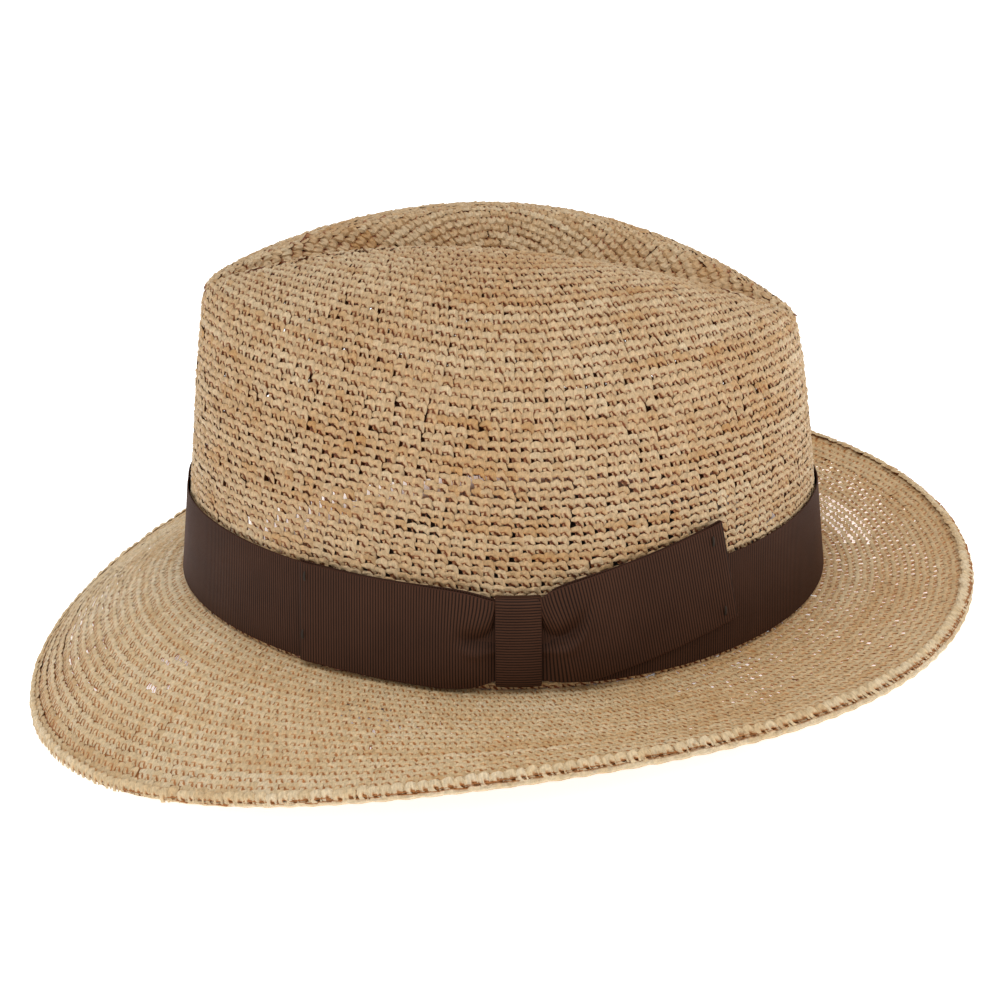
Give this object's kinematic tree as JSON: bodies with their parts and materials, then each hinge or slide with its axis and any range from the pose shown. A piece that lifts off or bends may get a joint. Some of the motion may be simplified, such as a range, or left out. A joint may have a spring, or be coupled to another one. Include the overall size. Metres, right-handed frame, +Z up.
{
  "type": "straw fedora hat",
  "caption": "Crocheted straw fedora with a centre dent, a brim that droops in front and lifts behind, and a ribbon band with a flat side bow.",
  "frame": {"origin": "centre of the hat's box on the surface that it rests on", "axes": "+Z up, -Y towards the front of the hat, +X towards the wearer's left, where the bow is"},
  "size_m": [0.2808, 0.3062, 0.1345],
  "materials": {
    "straw": "satin",
    "grosgrain": "satin"
  },
  "bodies": {
    "root": {"straw_hat": "straw", "hat_band": "grosgrain", "bow_front_loop": "grosgrain", "bow_rear_loop": "grosgrain", "bow_keeper": "grosgrain"}
  },
  "joints": []
}
